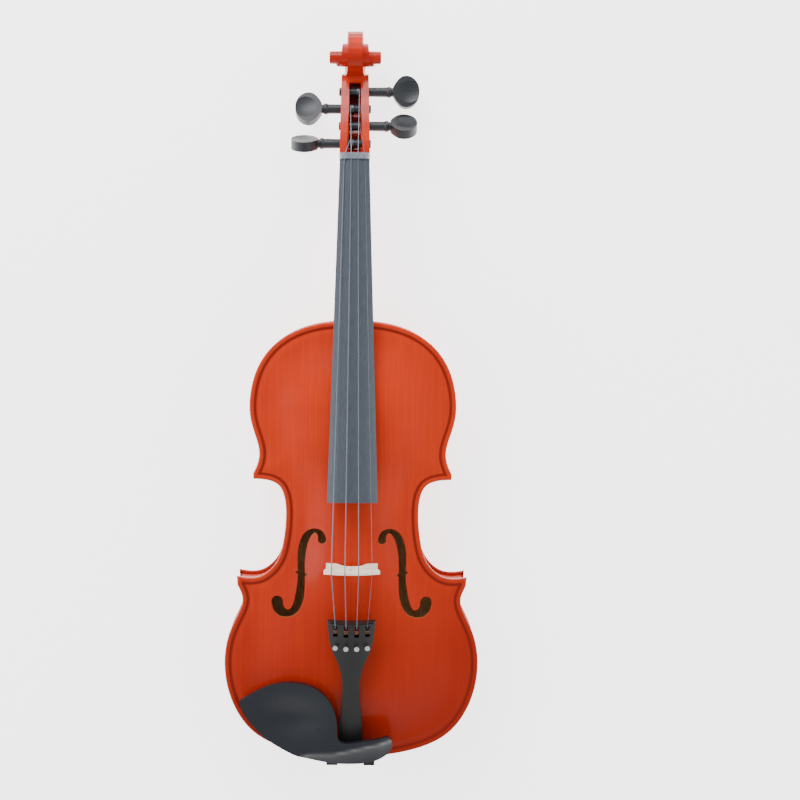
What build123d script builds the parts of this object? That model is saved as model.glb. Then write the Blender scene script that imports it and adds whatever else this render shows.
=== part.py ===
from build123d import *
import math
import os

import numpy as np

# A full-size violin as an assembly of its separate pieces.
#
# Frame: +X towards the treble side, +Y towards the scroll, +Z up from the belly, in millimetres.
# The violin lies on its back: Z is 0 at the crown of the back's arch, and the origin is below the
# middle of the whole instrument. Lengths "up" the violin are measured from the lower edge of the
# body, and every work plane below starts there.

# ---- driving dimensions ------------------------------------------------------------------------
BODY_LENGTH = 357.0
NECK_LENGTH = 131.0  # from the upper edge of the body to the nut
STOP_LENGTH = 199.0  # from the upper edge of the body to the bridge
HEAD_LENGTH = 107.5  # from the nut to the end of the scroll
FINGERBOARD_LENGTH = 277.0
RIB_HEIGHT = 30.5
RIB_THICKNESS = 1.1
EDGE_THICKNESS = 4.0
EDGE_OVERHANG = 2.7
BACK_ARCH = 15.0  # height of the back's crown over its glue joint
TOP_ARCH = 16.0
PLATE_THICKNESS = 3.0
BRIDGE_HEIGHT = 33.0
NUT_WIDTH = 24.0
FINGERBOARD_END_WIDTH = 40.5
FINGERBOARD_RADIUS = 42.0
PEG_TAPER = 1 / 30
RUNNING_CLEARANCE = 0.05

# ---- places worked out from them ---------------------------------------------------------------
BACK_JOINT_Z = BACK_ARCH
TOP_JOINT_Z = BACK_JOINT_Z + RIB_HEIGHT
EDGE_TOP_Z = TOP_JOINT_Z + EDGE_THICKNESS
EDGE_BOTTOM_Z = BACK_JOINT_Z - EDGE_THICKNESS
CROWN_Z = TOP_JOINT_Z + TOP_ARCH
BUTTON_END_Y = -9.0  # how far the end button reaches past the lower edge
NECK_ANGLE = 6.2
NECK_OVERSTAND = 6.0
HEAD_END_Y = BODY_LENGTH + (NECK_LENGTH + HEAD_LENGTH) * math.cos(math.radians(NECK_ANGLE))
LOWER_EDGE_Y = -(HEAD_END_Y + BUTTON_END_Y) / 2
BRIDGE_Y = BODY_LENGTH - STOP_LENGTH
MID_RIB_Z = (BACK_JOINT_Z + TOP_JOINT_Z) / 2

SIDE = Plane(origin=(0, LOWER_EDGE_Y, 0), x_dir=(0, 1, 0), z_dir=(1, 0, 0))
os.makedirs("parts", exist_ok=True)


def level(z):
    """A horizontal work plane whose Y starts at the lower edge of the body."""
    return Plane(origin=(0, LOWER_EDGE_Y, z), x_dir=(1, 0, 0), z_dir=(0, 0, 1))


def side(x):
    """A work plane seen from the treble side: its x runs up the violin, its y is height."""
    return SIDE.offset(x)


def station(y):
    """A cross-section plane at y up the violin: its x is the row's X, its y is height."""
    return Plane(origin=(0, LOWER_EDGE_Y + y, 0), x_dir=(1, 0, 0), z_dir=(0, -1, 0))


def save(piece, name):
    """Labels a finished piece and writes it as one STEP file."""
    piece.part.label = name
    export_step(piece.part, f"parts/{name}.step")


# ---- body outline and arching ------------------------------------------------------------------
LOWER_BOUT = [(0, 0), (27, 1.7), (52, 6.6), (80, 20.5), (97.5, 46), (103.5, 76), (99.5, 102),
              (91.5, 120), (89, 129), (93.2, 141)]
WAIST = [(93.8, 148.5), (84, 147.2), (75, 148.4), (67.5, 153), (61, 161), (56, 177), (54, 200),
         (55.5, 214), (60, 222.8), (69, 227), (80.6, 228)]
UPPER_BOUT = [(80.9, 232.5), (77.5, 240), (76, 249), (79.5, 264), (83.5, 279), (83.5, 297),
              (77, 320), (63, 338.5), (44, 350), (22, 355.6), (0, BODY_LENGTH)]
LOWER_CORNER, UPPER_CORNER = WAIST[0], WAIST[-1]


def body_outline(z, inset=0.0):
    """The body's outline as a sketch at height z, drawn in by inset."""
    with BuildSketch(level(z)) as full_size:
        with BuildLine():
            Spline(*LOWER_BOUT)
            Line(LOWER_BOUT[-1], WAIST[0])
            Spline(*WAIST)
            Line(WAIST[-1], UPPER_BOUT[0])
            Spline(*UPPER_BOUT)
            mirror(about=Plane.YZ)
        make_face()
        if inset:
            offset(amount=-inset)
    if not inset:
        return full_size.sketch
    with BuildSketch(level(z)) as redrawn:
        with BuildLine():
            for edge in full_size.sketch_local.edges():
                steps = 1 if edge.geom_type == GeomType.LINE else max(3, round(edge.length / 5))
                points = [edge @ (i / steps) for i in range(steps + 1)]
                if steps == 1:
                    Line(*points)
                else:
                    Spline(*points)
        make_face()
    return redrawn.sketch


def outline_samples(spacing=1.5):
    """Points along the outline, with the length that each stands for."""
    points, lengths = [], []
    for edge in body_outline(0).edges():
        count = max(2, round(edge.length / spacing))
        for i in range(count):
            point = edge.position_at((i + 0.5) / count)
            points.append((point.X, point.Y - LOWER_EDGE_Y))
            lengths.append(edge.length / count)
    return np.array(points), np.array(lengths)


OUTLINE_POINTS, OUTLINE_LENGTHS = outline_samples()
DISTANCE_POWER = 6
LINE_INTEGRAL = (math.sqrt(math.pi) * math.gamma((DISTANCE_POWER - 1) / 2)
                 / math.gamma(DISTANCE_POWER / 2))
CHANNEL_AT = 6.0  # the fluting's lowest line, in from the edge
CHANNEL_DEPTH = 0.6
LINING_REACH = 9.0  # the flat glue margin inside, in from the edge


def depth_inside(x, y):
    """A smooth distance from the outline, which has no ridge where two sides are as near."""
    squares = (x[..., None] - OUTLINE_POINTS[:, 0]) ** 2 + (y[..., None] - OUTLINE_POINTS[:, 1]) ** 2
    total = np.sum(OUTLINE_LENGTHS * (squares + 0.3) ** (-DISTANCE_POWER / 2), axis=-1)
    return (LINE_INTEGRAL / total) ** (1 / (DISTANCE_POWER - 1))


def arch_share(x, y, margin):
    """How much of the full arch stands at (x, y): 0 at the margin, 1 along the middle."""
    bout_middles = (75, 287)
    middle = depth_inside(0 * x, np.clip(y, *bout_middles)) * 1.02
    share = np.clip((depth_inside(x, y) - margin) / (middle - margin), 0, 1)
    return (1 - np.cos(np.pi * share)) / 2


def outer_height(x, y, arch):
    """Height of a plate's outer face over its glue joint."""
    channel = CHANNEL_DEPTH * np.exp(-(((depth_inside(x, y) - CHANNEL_AT) / 2.5) ** 2))
    return EDGE_THICKNESS + (arch - EDGE_THICKNESS) * arch_share(x, y, CHANNEL_AT - 1) - channel


def inner_height(x, y, arch):
    """Height of a plate's hollowed inner face, a little below 0 on the glue margin."""
    return (arch - PLATE_THICKNESS) * arch_share(x, y, LINING_REACH) - 0.01


def region(height, y_range, x_range, far_z, x_step=4.0, y_step=5.0):
    """The space between the sheet z = height(x, y) and the level z = far_z."""
    xs = np.linspace(*x_range, round((x_range[1] - x_range[0]) / x_step) + 1)
    spans = round((y_range[1] - y_range[0]) / y_step)
    with BuildPart() as space:
        for y in np.linspace(*y_range, spans + 1):
            zs = height(xs, np.full_like(xs, y))
            with BuildSketch(station(y)):
                with BuildLine():
                    add(Edge.make_spline([(x, z) for x, z in zip(xs, zs)],
                                                 parameters=list(np.linspace(0, 1, len(xs)))))
                    Polyline((xs[-1], zs[-1]), (xs[-1], far_z), (xs[0], far_z), (xs[0], zs[0]))
                make_face()
        loft()
    return space.part


BODY_SPAN = (-5.0, BODY_LENGTH + 5)
BODY_SIDES = (-108.0, 108.0)
over_top = region(lambda x, y: TOP_JOINT_Z + outer_height(x, y, TOP_ARCH),
                  BODY_SPAN, BODY_SIDES, CROWN_Z + 60)
under_top = region(lambda x, y: TOP_JOINT_Z + inner_height(x, y, TOP_ARCH),
                   BODY_SPAN, BODY_SIDES, -30)
below_back = region(lambda x, y: BACK_JOINT_Z - outer_height(x, y, BACK_ARCH),
                    BODY_SPAN, BODY_SIDES, -30)
above_back = region(lambda x, y: BACK_JOINT_Z - inner_height(x, y, BACK_ARCH),
                    BODY_SPAN, BODY_SIDES, CROWN_Z + 30)


def slab(x_range, y_range, z_range):
    """A box given by its limits, with y measured up the violin from the body's lower edge."""
    size = [high - low for low, high in (x_range, y_range, z_range)]
    middle = [(high + low) / 2 for low, high in (x_range, y_range, z_range)]
    box = Box(*size, mode=Mode.PRIVATE)
    return Pos(middle[0], LOWER_EDGE_Y + middle[1], middle[2]) * box


def rod(start, end, radius):
    """A plain round bar between two points given as (x, y up the violin, z)."""
    first = Vector(start[0], LOWER_EDGE_Y + start[1], start[2])
    last = Vector(end[0], LOWER_EDGE_Y + end[1], end[2])
    return Solid.make_cylinder(radius, (last - first).length, Plane(first, z_dir=last - first))


# ---- ribs, blocks and linings ------------------------------------------------------------------
RIB_OUTER = EDGE_OVERHANG
RIB_INNER = EDGE_OVERHANG + RIB_THICKNESS
LINING_THICKNESS = 2.0
LINING_HEIGHT = 7.0
BUTTON_HOLE_RADIUS = 4.0
LOWER_CORNER_Y = 143.3
UPPER_CORNER_Y = 231.2
UPPER_BLOCK_SIZE = (50.0, 16.0)
LOWER_BLOCK_SIZE = (46.0, 15.0)
CORNER_BLOCK_REACH = 30.0
RIB_BANDS = {
    "lower": (-5.0, LOWER_CORNER_Y),
    "waist": (LOWER_CORNER_Y, UPPER_CORNER_Y),
    "upper": (UPPER_CORNER_Y, BODY_LENGTH + 5),
}


def block_footprints():
    """The plan shapes of the six blocks, before they are trimmed to the inside of the ribs."""
    corner_blocks = []
    for sign in (-1, 1):
        for corner_y, inner_x in ((LOWER_CORNER_Y, 66.0), (UPPER_CORNER_Y, 57.0)):
            inner, tip = inner_x * sign, (inner_x + 40) * sign
            corner_blocks.append([(inner, corner_y), (tip, corner_y - CORNER_BLOCK_REACH * 1.3),
                                  (tip, corner_y + CORNER_BLOCK_REACH * 1.3)])
    upper = UPPER_BLOCK_SIZE[0] / 2
    lower = LOWER_BLOCK_SIZE[0] / 2
    upper_y = BODY_LENGTH - RIB_INNER - UPPER_BLOCK_SIZE[1]
    lower_y = RIB_INNER + LOWER_BLOCK_SIZE[1]
    return {
        "upper": [[(-upper, upper_y), (upper, upper_y), (upper, BODY_LENGTH + 3),
                   (-upper, BODY_LENGTH + 3)]],
        "lower": [[(-lower, -3), (lower, -3), (lower, lower_y), (-lower, lower_y)]],
        "corners": corner_blocks,
    }


FOOTPRINTS = block_footprints()


def footprint_columns(names):
    """Upright columns over the named blocks' plan shapes."""
    with BuildPart() as columns:
        with BuildSketch(level(BACK_JOINT_Z - 20)):
            for name in names:
                for corners in FOOTPRINTS[name]:
                    Polygon(*corners, align=None)
        extrude(amount=RIB_HEIGHT + 40)
    return columns.part


def ring(z, outer_inset, inner_inset, height):
    """A band that follows the outline, between two insets, standing on z."""
    outside, inside = body_outline(z, outer_inset), body_outline(z, inner_inset)
    with BuildPart() as band:
        extrude(outside, amount=height)
        extrude(inside, amount=height, mode=Mode.SUBTRACT)
    return band.part


all_blocks = footprint_columns(FOOTPRINTS)
rib_garland = ring(BACK_JOINT_Z, RIB_OUTER, RIB_INNER, RIB_HEIGHT)
inside_ribs = body_outline(BACK_JOINT_Z, RIB_INNER)

# ---- neck: places along it ---------------------------------------------------------------------
NECK_RISE = math.sin(math.radians(NECK_ANGLE))
NECK_RUN = math.cos(math.radians(NECK_ANGLE))
NECK_ROOT_Z = EDGE_TOP_Z + NECK_OVERSTAND
NUT_Y = BODY_LENGTH + NECK_LENGTH * NECK_RUN
NUT_Z = NECK_ROOT_Z - NECK_LENGTH * NECK_RISE
BUTTON_RADIUS = 10.5
MORTISE_DEPTH = 5.0
NUT_LENGTH = 6.0


def along_neck(u, v):
    """(y, z) of the point u beyond the nut and v above the neck's glue face."""
    return NUT_Y + u * NECK_RUN + v * NECK_RISE, NUT_Z - u * NECK_RISE + v * NECK_RUN


def neck_station(u):
    """A section plane square to the neck at u beyond the nut; its y is the height v."""
    y, z = along_neck(u, 0)
    return Plane(origin=(0, LOWER_EDGE_Y + y, z), x_dir=(1, 0, 0),
                 z_dir=(0, -NECK_RUN, NECK_RISE))


NECK_SIDE = Plane(origin=(0, LOWER_EDGE_Y + NUT_Y, NUT_Z), x_dir=(0, NECK_RUN, -NECK_RISE),
                  z_dir=(1, 0, 0))
NECK_TOP = Plane(origin=(0, LOWER_EDGE_Y + NUT_Y, NUT_Z), x_dir=(1, 0, 0),
                 z_dir=(0, NECK_RISE, NECK_RUN))

# ---- neck, pegbox and scroll -------------------------------------------------------------------
PEGBOX_HALF = 12.3
PEGBOX_END_HALF = 11.0
EYE_Z = 19.0
EYE_RADIUS = 4.3
EYE_HALF_WIDTH = 21.2
# Spiral of the scroll by quarter turns from the throat, past the back, the end and the front.
TURN_RADII = [20.5, 19.0, 21.4, 18.6, 14.3, 12.0, 11.4, 9.4, 7.4, 6.0, 5.2]
TURN_HALF_WIDTHS = [9.5, 7.8, 6.3, 5.9, 7.5, 9.2, 10.4, 11.6, 14.5, 18.0, 20.8]
EYE_Y = HEAD_END_Y - TURN_RADII[2]
SECTION_STEP = 15
ROOT_Y = BODY_LENGTH - RIB_INNER - MORTISE_DEPTH
# (u beyond the nut, depth under the glue face, half width) down the handle
HANDLE_SECTIONS = [(-143, 15.5, 16.26), (-120, 15.0, 15.55), (-100, 14.6, 14.96), (-70, 14.0, 14.06),
                   (-35, 13.2, 13.02), (3, 12.5, 11.9)]
# (height, how far the heel reaches up the neck, half width) up the heel
HEEL_SECTIONS = [(BACK_JOINT_Z, 366.0, 10.8), (20, 366.3, 11.6), (26, 367.5, 12.7), (31, 370.2, 13.7),
                 (35.5, 375.0, 14.5), (39, 382.0, 15.1), (42, 391.0, 15.5)]


def blend_curve(values, quarter_turns):
    """A smooth reading between values given at every quarter turn."""
    spots = np.arange(len(values))
    fine = np.clip(quarter_turns, 0, len(values) - 1)
    low = min(int(fine), len(values) - 2)
    share = fine - low
    slopes = np.gradient(np.array(values, dtype=float), spots)
    a, b = values[low], values[low + 1]
    square, cube = share ** 2, share ** 3
    return float((2 * cube - 3 * square + 1) * a + (cube - 2 * square + share) * slopes[low]
                 + (3 * square - 2 * cube) * b + (cube - square) * slopes[low + 1])


def volute_section(angle):
    """Half-section corners (out from the eye's axis, along it) of the scroll at an angle."""
    turn = angle / 90
    outer, outer_half = blend_curve(TURN_RADII, turn), blend_curve(TURN_HALF_WIDTHS, turn)
    inner, inner_half = blend_curve(TURN_RADII, turn + 4), blend_curve(TURN_HALF_WIDTHS, turn + 4)
    inner = min(inner, outer - 0.8)
    core, core_half = blend_curve(TURN_RADII, turn + 8), blend_curve(TURN_HALF_WIDTHS, turn + 8)
    core = min(core, inner - 0.4)
    hollow = 0.9
    return [(1.5, core_half), (core, core_half), (core + 0.2, inner_half - hollow),
            ((core + inner) / 2 + 0.2, inner_half - hollow), (inner, inner_half),
            (inner + 0.3, outer_half - hollow), ((inner + outer) / 2, outer_half - hollow),
            (outer, outer_half)]


with BuildPart() as handle:
    for u, depth, half in HANDLE_SECTIONS:
        with BuildSketch(neck_station(u)):
            with BuildLine():
                Line((-half, 0), (half, 0))
                Spline((half, 0), (half * 0.97, -depth * 0.38), (half * 0.74, -depth * 0.74),
                       (half * 0.38, -depth * 0.94), (0, -depth), (-half * 0.38, -depth * 0.94),
                       (-half * 0.74, -depth * 0.74), (-half * 0.97, -depth * 0.38), (-half, 0))
            make_face()
    loft()

with BuildPart() as heel:
    for z, end_y, half in HEEL_SECTIONS:
        with BuildSketch(level(z)):
            with BuildLine():
                Line((-half, ROOT_Y), (half, ROOT_Y))
                Line((half, ROOT_Y), (half, end_y - half))
                Spline((half, end_y - half), (half * 0.88, end_y - half * 0.48),
                       (half * 0.55, end_y - half * 0.13), (0, end_y),
                       (-half * 0.55, end_y - half * 0.13), (-half * 0.88, end_y - half * 0.48),
                       (-half, end_y - half), tangents=[(0, 1), (0, -1)])
                Line((-half, end_y - half), (-half, ROOT_Y))
            make_face()
    loft()

# Pegs: u beyond the nut, v of the axis, side of the head, where the head starts, turn of the head
PEGS = {"g": (15.0, -8.5, -1, 31.0, 65), "e": (30.0, -11.0, 1, 30.0, 48),
        "d": (45.0, -15.0, -1, 28.0, 15), "a": (60.0, -18.5, 1, 32.0, 0)}
PEG_END_RADIUS = 3.4
PEG_END_AT = 13.2  # how far the small end stands from the middle of the pegbox
PEG_WINDING_X = 3.6
WINDING_TURNS = 4


def peg_radius(x):
    """Radius of a peg's taper at x, measured towards its head."""
    return PEG_END_RADIUS + (x + PEG_END_AT) * PEG_TAPER / 2


def across(u, v):
    """A plane across the pegbox at (u, v): its z is +X and its x runs up the neck."""
    y, z = along_neck(u, v)
    return Plane(origin=(0, LOWER_EDGE_Y + y, z), x_dir=(0, NECK_RUN, -NECK_RISE), z_dir=(1, 0, 0))


peg_bores = []
for u, v, head_side, _, _ in PEGS.values():
    start, end = -PEG_END_AT - 3, PEG_END_AT + 3
    cone = Solid.make_cone(peg_radius(start) + RUNNING_CLEARANCE, peg_radius(end) + RUNNING_CLEARANCE,
                           end - start, Plane((0, 0, start)))
    peg_bores.append(across(u, v).location * (Rot(0, 0 if head_side > 0 else 180, 0) * cone))

with BuildPart() as pegbox:
    with BuildSketch(NECK_SIDE.offset(-PEGBOX_HALF)):
        with BuildLine():
            Line((0, -0.02), (NUT_LENGTH + 0.1, -0.02))
            Spline((NUT_LENGTH + 0.1, -0.02), (15, -1.3), (30, -4.2), (50, -9.2), (63, -13.2),
                   (74, -17.5))
            Line((74, -17.5), (78, -30))
            Spline((78, -30), (60, -33.2), (40, -30.2), (20, -24.4), (8, -17.5), (0, -12.8))
            Line((0, -12.8), (0, -0.02))
        make_face()
    extrude(amount=2 * PEGBOX_HALF)
    with BuildSketch(NECK_TOP.offset(-45)):
        Polygon((-PEGBOX_HALF, -2), (-PEGBOX_HALF, 12), (-PEGBOX_END_HALF, 80),
                (PEGBOX_END_HALF, 80), (PEGBOX_HALF, 12), (PEGBOX_HALF, -2), align=None)
    extrude(amount=60, mode=Mode.INTERSECT)
    with BuildSketch(NECK_TOP.offset(4)):
        with BuildLine():
            Polyline((-6.3, 7), (6.3, 7), (4.8, 67), (-4.8, 67), (-6.3, 7))
        make_face()
    extrude(amount=-10.5, mode=Mode.SUBTRACT)
    with BuildSketch(NECK_SIDE.offset(-4.8)):
        Polygon((7, 4), (7, -13.5), (22, -19.5), (42, -25), (60, -27.5), (67, -27), (67, 4), align=None)
    extrude(amount=9.6, mode=Mode.SUBTRACT)
    add(peg_bores, mode=Mode.SUBTRACT)

volute_halves = []
for first in (0, 180):
    with BuildPart() as half_turn:
        for angle in range(first, first + 181, SECTION_STEP):
            radial = math.radians(angle)
            profile = volute_section(angle)
            outline = profile + [(out, -along) for out, along in reversed(profile)]
            section_plane = Plane(origin=(0, LOWER_EDGE_Y + EYE_Y, EYE_Z),
                                  x_dir=(0, -math.cos(radial), -math.sin(radial)),
                                  z_dir=(0, -math.sin(radial), math.cos(radial)))
            with BuildSketch(section_plane):
                Polygon(*outline, align=None)
        loft(ruled=True)
    volute_halves.append(half_turn.part)

with BuildPart() as volute:
    add(volute_halves)
    with BuildSketch(side(-EYE_HALF_WIDTH)):
        with Locations((EYE_Y, EYE_Z)):
            Circle(EYE_RADIUS)
    extrude(amount=2 * EYE_HALF_WIDTH)

root_trim = slab((-30, 30), (300, ROOT_Y), (0, 70))
with BuildPart() as neck_and_scroll:
    add([handle.part, heel.part, pegbox.part, volute.part])
    add(root_trim, mode=Mode.SUBTRACT)
save(neck_and_scroll, "neck_and_scroll")

button_hole = rod((0, -5, MID_RIB_Z), (0, 25, MID_RIB_Z), BUTTON_HOLE_RADIUS)
for band, y_range in RIB_BANDS.items():
    for side_name, x_range in (("bass", (-110, 0)), ("treble", (0, 110))):
        with BuildPart() as rib:
            add(rib_garland)
            add(slab(x_range, y_range, (0, 60)), mode=Mode.INTERSECT)
            add([neck_and_scroll.part, button_hole], mode=Mode.SUBTRACT)
        save(rib, f"{band}_rib_{side_name}")

for name, label in (("upper", "upper_block"), ("lower", "lower_block"), ("corners", "corner_blocks")):
    columns = footprint_columns([name])
    with BuildPart() as block:
        extrude(inside_ribs, amount=RIB_HEIGHT)
        add(columns, mode=Mode.INTERSECT)
        if name == "upper":
            add(neck_and_scroll.part, mode=Mode.SUBTRACT)
        if name == "lower":
            add(button_hole, mode=Mode.SUBTRACT)
    save(block, label)

lining_rings = [ring(z, RIB_INNER, RIB_INNER + LINING_THICKNESS, LINING_HEIGHT)
                for z in (BACK_JOINT_Z, TOP_JOINT_Z - LINING_HEIGHT)]
with BuildPart() as linings:
    add(lining_rings)
    add(all_blocks, mode=Mode.SUBTRACT)
save(linings, "linings")

# ---- top and back plates -----------------------------------------------------------------------
PURFLING_AT = 4.0
PURFLING_WIDTH = 1.3
PURFLING_FLOOR = 1.5  # height of the groove's floor over the glue joint
EDGE_ROUNDING = 1.3
SADDLE_SIZE = (34.0, 7.0)
SADDLE_TOP_Z = EDGE_TOP_Z + 3.4
F_OUTER_EDGE = [(20.9, 179.8), (23, 185.6), (30, 188.6), (38, 185.3), (42.8, 176), (44.2, 160),
                (44, 146), (46, 133), (48, 126), (51.5, 122.3), (54.6, 124), (55.7, 128.3)]
F_LOWER_EYE = (60.5, 133.1)
F_INNER_EDGE = [(65.3, 128.3), (63.5, 121.5), (58.5, 117), (52.5, 116.2), (45.5, 119),
                (40.5, 126.5), (38.3, 138), (38.2, 156), (37.6, 168), (35, 178.5), (32.5, 183),
                (29.5, 185), (27.8, 183), (27.7, 179.8)]
F_UPPER_EYE = (24.3, 176.4)
F_NICKS = [[(43.4, 154.2), (46.2, 152.3), (43.4, 150.4)], [(38.8, 152.7), (36, 150.8), (38.8, 148.9)]]


def f_holes(z):
    """The two sound holes as a sketch at height z."""
    with BuildSketch(level(z)) as sketch:
        with BuildLine():
            Spline(*F_OUTER_EDGE)
            ThreePointArc(F_OUTER_EDGE[-1], F_LOWER_EYE, F_INNER_EDGE[0])
            Spline(*F_INNER_EDGE)
            ThreePointArc(F_INNER_EDGE[-1], F_UPPER_EYE, F_OUTER_EDGE[0])
        make_face()
        for nick in F_NICKS:
            Polygon(*nick, align=None)
        mirror(about=Plane.YZ)
    return sketch.sketch


saddle_notch = slab((-SADDLE_SIZE[0] / 2, SADDLE_SIZE[0] / 2), (-3, SADDLE_SIZE[1]),
                    (TOP_JOINT_Z, CROWN_Z))
top_groove = ring(TOP_JOINT_Z + PURFLING_FLOOR, PURFLING_AT, PURFLING_AT + PURFLING_WIDTH, TOP_ARCH)
back_groove = ring(BACK_JOINT_Z - PURFLING_FLOOR - BACK_ARCH, PURFLING_AT,
                   PURFLING_AT + PURFLING_WIDTH, BACK_ARCH)
top_outline, back_outline = body_outline(TOP_JOINT_Z), body_outline(BACK_JOINT_Z)
sound_holes = f_holes(TOP_JOINT_Z - 1)
top_purfling, back_purfling = top_groove - over_top, back_groove - below_back

with BuildPart() as top_blank:
    extrude(top_outline, amount=TOP_ARCH + 2)
    add(over_top, mode=Mode.SUBTRACT)
    fillet(top_blank.faces().sort_by(Axis.Z)[-1].outer_wire().edges(), EDGE_ROUNDING)
top_seats = top_blank.part & all_blocks

with BuildPart() as top_plate:
    add(top_blank.part)
    add(under_top, mode=Mode.SUBTRACT)
    add(top_seats)
    extrude(sound_holes, amount=TOP_ARCH + 4, mode=Mode.SUBTRACT)
    add(top_groove, mode=Mode.SUBTRACT)
    add(neck_and_scroll.part, mode=Mode.SUBTRACT)
    add(saddle_notch, mode=Mode.SUBTRACT)
save(top_plate, "top_plate")

with BuildPart() as back_blank:
    extrude(back_outline, amount=-BACK_ARCH - 2)
    add(below_back, mode=Mode.SUBTRACT)
    fillet(back_blank.faces().sort_by(Axis.Z)[0].outer_wire().edges(), EDGE_ROUNDING)
back_seats = back_blank.part & all_blocks

with BuildPart() as back_plate:
    add(back_blank.part)
    add(above_back, mode=Mode.SUBTRACT)
    add(back_seats)
    add(back_groove, mode=Mode.SUBTRACT)
    with BuildSketch(level(EDGE_BOTTOM_Z + 0.3)):
        with Locations((0, BODY_LENGTH - 1.5)):
            Circle(BUTTON_RADIUS)
        with Locations((0, BODY_LENGTH - 11.5)):
            Rectangle(30, 20, mode=Mode.SUBTRACT)
    extrude(amount=EDGE_THICKNESS - 0.3)
save(back_plate, "back_plate")

with BuildPart() as purfling:
    add([top_purfling, back_purfling])
    add(neck_and_scroll.part, mode=Mode.SUBTRACT)
    add(saddle_notch, mode=Mode.SUBTRACT)
save(purfling, "purfling")

# ---- bass bar, sound post, saddle, end button --------------------------------------------------
BASS_BAR_X = -16.0
BASS_BAR_WIDTH = 5.5
POST_RADIUS = 3.1
POST_PLACE = (18.0, BRIDGE_Y - 7)
BUTTON_HEAD_RADIUS = 7.3
GUT_RADIUS = 1.0
GUT_HALF_SPREAD = 5.3
GUT_Y = -1.2

with BuildPart() as bass_bar:
    with BuildSketch(side(BASS_BAR_X)):
        with BuildLine():
            Spline((43, TOP_JOINT_Z + 4.2), (100, TOP_JOINT_Z + 3), (BRIDGE_Y, TOP_JOINT_Z + 2),
                   (240, TOP_JOINT_Z + 3), (313, TOP_JOINT_Z + 4.2))
            Polyline((313, TOP_JOINT_Z + 4.2), (313, CROWN_Z), (43, CROWN_Z), (43, TOP_JOINT_Z + 4.2))
        make_face()
    extrude(amount=BASS_BAR_WIDTH / 2, both=True)
    add(under_top, mode=Mode.INTERSECT)
save(bass_bar, "bass_bar")

with BuildPart() as sound_post:
    add(rod((*POST_PLACE, -10), (*POST_PLACE, CROWN_Z + 5), POST_RADIUS))
    add(under_top, mode=Mode.INTERSECT)
    add(above_back, mode=Mode.INTERSECT)
save(sound_post, "sound_post")

with BuildPart() as end_button:
    with BuildSketch(side(0)):
        with BuildLine():
            Polyline((18, MID_RIB_Z), (18, MID_RIB_Z + 3.6), (RIB_OUTER, MID_RIB_Z + BUTTON_HOLE_RADIUS),
                     (RIB_OUTER, MID_RIB_Z + 5.6), (RIB_OUTER - 1, MID_RIB_Z + 5.6),
                     (0.6, MID_RIB_Z + GUT_HALF_SPREAD - GUT_RADIUS),
                     (-2.6, MID_RIB_Z + GUT_HALF_SPREAD - GUT_RADIUS),
                     (-2.9, MID_RIB_Z + BUTTON_HEAD_RADIUS - 0.7),
                     (-3.3, MID_RIB_Z + BUTTON_HEAD_RADIUS),
                     (-5.3, MID_RIB_Z + BUTTON_HEAD_RADIUS))
            Spline((-5.3, MID_RIB_Z + BUTTON_HEAD_RADIUS), (-7.4, MID_RIB_Z + 5.9),
                   (BUTTON_END_Y, MID_RIB_Z + 2.2))
            Polyline((BUTTON_END_Y, MID_RIB_Z + 2.2), (BUTTON_END_Y, MID_RIB_Z), (18, MID_RIB_Z))
        make_face()
    revolve(axis=Axis((0, LOWER_EDGE_Y, MID_RIB_Z), (0, 1, 0)))
save(end_button, "end_button")

# ---- fingerboard and nut -----------------------------------------------------------------------
FINGERBOARD_EDGE = 5.0
STRINGS = {"g": (-1.5, 0.41), "d": (-0.5, 0.40), "a": (0.5, 0.34), "e": (1.5, 0.15)}
NUT_SPACING = 5.5
BRIDGE_SPACING = 10.8
TAIL_SPACING = 8.6


def crown(x, radius):
    """Fall of an arched top, of the given radius, at x from its middle."""
    return radius - math.sqrt(radius ** 2 - x ** 2)


with BuildPart() as fingerboard:
    for u, half in ((-FINGERBOARD_LENGTH, FINGERBOARD_END_WIDTH / 2), (0, NUT_WIDTH / 2)):
        with BuildSketch(neck_station(u)):
            with BuildLine():
                Polyline((-half, FINGERBOARD_EDGE), (-half, 0), (half, 0), (half, FINGERBOARD_EDGE))
                ThreePointArc((half, FINGERBOARD_EDGE),
                              (0, FINGERBOARD_EDGE + crown(half, FINGERBOARD_RADIUS)),
                              (-half, FINGERBOARD_EDGE))
            make_face()
    loft(ruled=True)
    with BuildSketch(neck_station(-FINGERBOARD_LENGTH - 1)):
        with BuildLine():
            ThreePointArc((-14.5, 0), (0, 4.2), (14.5, 0))
            Line((-14.5, 0), (14.5, 0))
        make_face()
    extrude(amount=-(FINGERBOARD_LENGTH - NECK_LENGTH - 14), mode=Mode.SUBTRACT)
save(fingerboard, "fingerboard")

# ---- strings: their heights at the nut, the bridge and the tailpiece ---------------------------
NUT_STRING_V = 7.6
BRIDGE_TOP_Z = CROWN_Z + BRIDGE_HEIGHT
BRIDGE_CENTRE_SHIFT = -1.2  # leans the bridge's top curve down towards the treble side
TAIL_ANGLE = 13.2
TAIL_TOP_Y = 117.0
TAIL_TOP_Z = 83.2
TAIL_LENGTH = 112.0
TAIL_RADIUS = 45.0
FRET_S = 1.6
FRET_HEIGHT = 1.3
BALL_S = 8.6
BALL_V = -1.0
BALL_RADIUS = 1.7


def along_tail(s, v):
    """(y, z) of the point s down the tailpiece from its top edge and v above its crown."""
    angle = math.radians(TAIL_ANGLE)
    return (TAIL_TOP_Y - s * math.cos(angle) - v * math.sin(angle),
            TAIL_TOP_Z - s * math.sin(angle) + v * math.cos(angle))


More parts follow.
